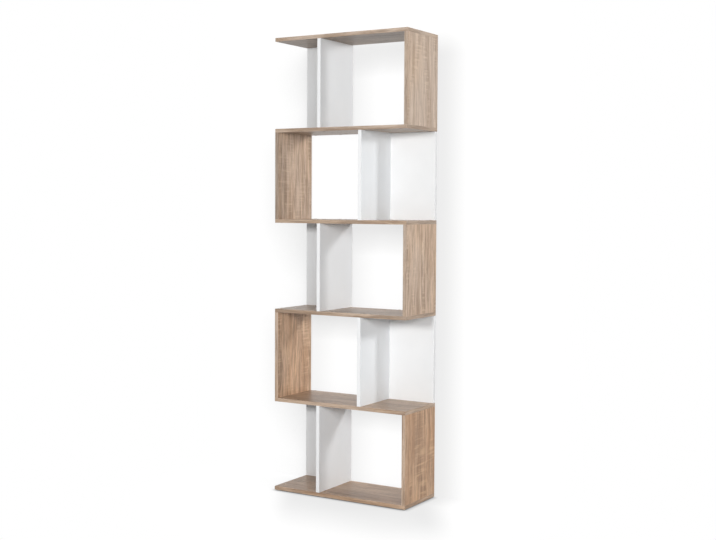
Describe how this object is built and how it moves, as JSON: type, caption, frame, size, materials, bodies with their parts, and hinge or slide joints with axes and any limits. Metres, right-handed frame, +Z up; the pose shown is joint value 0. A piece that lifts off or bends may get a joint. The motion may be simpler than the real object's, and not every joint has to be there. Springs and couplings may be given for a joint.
{
  "type": "zigzag bookcase",
  "caption": "Tall narrow zigzag bookcase: boards with uprights that step left and right from tier to tier, white dividers and partial white backs, open bays for books.",
  "frame": {"origin": "on the floor, under the middle of the bottom board", "axes": "+Z up, +Y towards the wall behind, +X to the right of someone who faces the front"},
  "size_m": [0.62, 0.25, 1.898],
  "materials": {
    "oak_face": "faced chipboard, light oak grain, satin",
    "white_face": "faced chipboard, white, satin",
    "oak_edge": "edge strip, light oak grain",
    "white_edge": "edge strip, white",
    "zinc_screw": "zinc-plated",
    "oak_cap": "matt, oak colour",
    "beech_dowel": "bare beech",
    "glide_plastic": "matt, dark brown",
    "bracket_steel": "zinc-plated sheet"
  },
  "bodies": {
    "root": {"back_panel_1": "white_face", "back_panel_1_edging": "white_edge", "back_panel_2": "white_face", "back_panel_2_edging": "white_edge", "back_panel_3": "white_face", "back_panel_3_edging": "white_edge", "back_panel_4": "white_face", "back_panel_4_edging": "white_edge", "back_panel_5": "white_face", "back_panel_5_edging": "white_edge", "back_panel_dowels": "beech_dowel", "back_panel_screw_caps": "oak_cap", "back_panel_screws": "zinc_screw", "back_to_divider_dowels": "beech_dowel", "bottom_board": "oak_face", "bottom_board_edging": "oak_edge", "bracket_screws": "zinc_screw", "divider_1": "white_face", "divider_1_edging": "white_edge", "divider_2": "white_face", "divider_2_edging": "white_edge", "divider_3": "white_face", "divider_3_edging": "white_edge", "divider_4": "white_face", "divider_4_edging": "white_edge", "divider_5": "white_face", "divider_5_edging": "white_edge", "divider_dowels": "beech_dowel", "divider_screw_caps": "oak_cap", "divider_screws": "zinc_screw", "floor_glides": "glide_plastic", "shelf_board_1": "oak_face", "shelf_board_1_edging": "oak_edge", "shelf_board_2": "oak_face", "shelf_board_2_edging": "oak_edge", "shelf_board_3": "oak_face", "shelf_board_3_edging": "oak_edge", "shelf_board_4": "oak_face", "shelf_board_4_edging": "oak_edge", "side_panel_1": "oak_face", "side_panel_1_edging": "oak_edge", "side_panel_2": "oak_face", "side_panel_2_edging": "oak_edge", "side_panel_3": "oak_face", "side_panel_3_edging": "oak_edge", "side_panel_4": "oak_face", "side_panel_4_edging": "oak_edge", "side_panel_5": "oak_face", "side_panel_5_edging": "oak_edge", "side_panel_dowels": "beech_dowel", "side_panel_screw_caps": "oak_cap", "side_panel_screws": "zinc_screw", "top_board": "oak_face", "top_board_edging": "oak_edge", "wall_brackets": "bracket_steel"}
  },
  "joints": []
}
